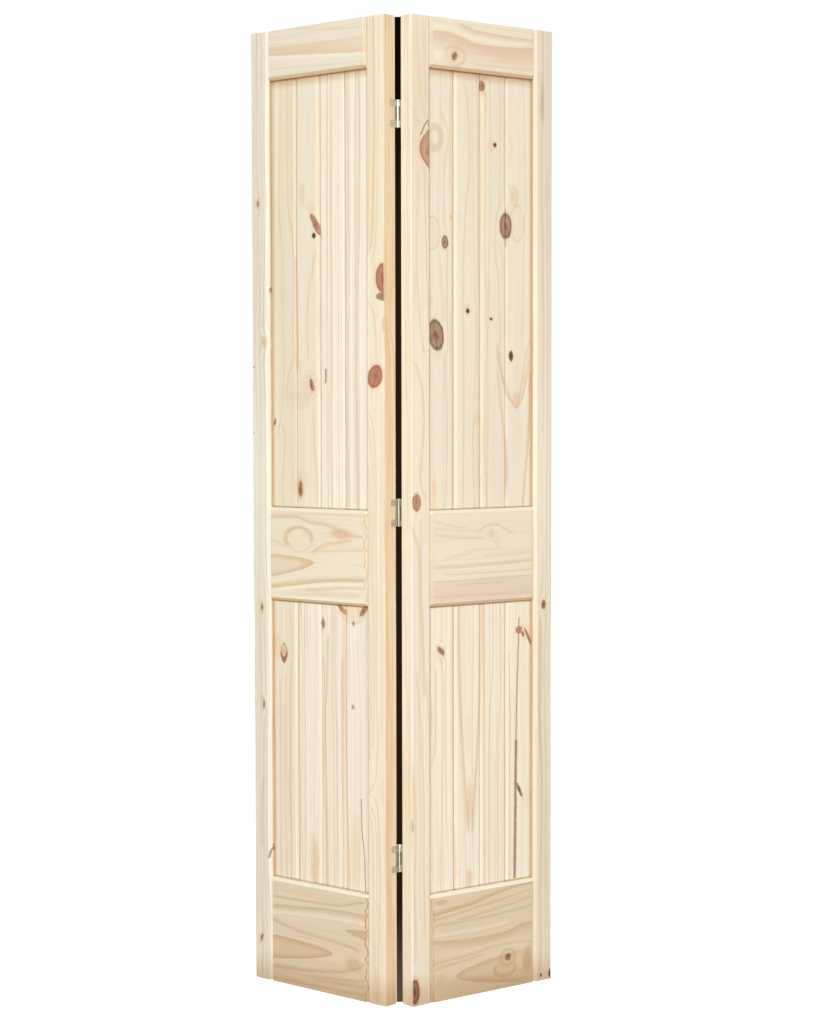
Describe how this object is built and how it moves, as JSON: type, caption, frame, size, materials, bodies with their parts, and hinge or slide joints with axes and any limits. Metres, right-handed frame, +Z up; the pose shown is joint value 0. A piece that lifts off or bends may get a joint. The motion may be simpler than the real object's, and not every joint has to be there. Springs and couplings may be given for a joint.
{
  "type": "bifold closet door",
  "caption": "Two-leaf bifold closet door in knotty pine: framed leaves with V-grooved plank panels above and below a middle rail, folded on surface hinges.",
  "frame": {"origin": "on the floor plane, in the middle of the folded door's width and depth", "axes": "+Z up along the leaves; +X to the right leaf; -Y is the front, towards which the folded leaves point"},
  "size_m": [0.6316, 0.2578, 2.007],
  "materials": {
    "pine_frame": "smooth sanded, unfinished",
    "pine_planks": "smooth sanded, unfinished",
    "beech_dowels": "plain",
    "zinc_hinge": "bright zinc plate",
    "hinge_screws": "bright zinc plate"
  },
  "bodies": {
    "left_leaf": {"bottom_hinge_left_plate": "zinc_hinge", "bottom_hinge_left_screws": "hinge_screws", "left_bottom_rail": "pine_frame", "left_dowels": "beech_dowels", "left_hinge_stile": "pine_frame", "left_lower_plank_1": "pine_planks", "left_lower_plank_2": "pine_planks", "left_lower_plank_3": "pine_planks", "left_lower_plank_4": "pine_planks", "left_middle_rail": "pine_frame", "left_outer_stile": "pine_frame", "left_top_rail": "pine_frame", "left_upper_plank_1": "pine_planks", "left_upper_plank_2": "pine_planks", "left_upper_plank_3": "pine_planks", "left_upper_plank_4": "pine_planks", "middle_hinge_left_plate": "zinc_hinge", "middle_hinge_left_screws": "hinge_screws", "top_hinge_left_plate": "zinc_hinge", "top_hinge_left_screws": "hinge_screws"},
    "right_leaf": {"bottom_hinge_pin": "zinc_hinge", "bottom_hinge_right_plate": "zinc_hinge", "bottom_hinge_right_screws": "hinge_screws", "middle_hinge_pin": "zinc_hinge", "middle_hinge_right_plate": "zinc_hinge", "middle_hinge_right_screws": "hinge_screws", "right_bottom_rail": "pine_frame", "right_dowels": "beech_dowels", "right_hinge_stile": "pine_frame", "right_lower_plank_1": "pine_planks", "right_lower_plank_2": "pine_planks", "right_lower_plank_3": "pine_planks", "right_lower_plank_4": "pine_planks", "right_middle_rail": "pine_frame", "right_outer_stile": "pine_frame", "right_top_rail": "pine_frame", "right_upper_plank_1": "pine_planks", "right_upper_plank_2": "pine_planks", "right_upper_plank_3": "pine_planks", "right_upper_plank_4": "pine_planks", "top_hinge_pin": "zinc_hinge", "top_hinge_right_plate": "zinc_hinge", "top_hinge_right_screws": "hinge_screws"}
  },
  "joints": [
    {"name": "fold", "type": "hinge", "parent": "left_leaf", "child": "right_leaf", "pos_m": [0, -0.09896, 0], "axis": [0, 0, 1], "range_deg": [-77.6, 102.4]}
  ]
}
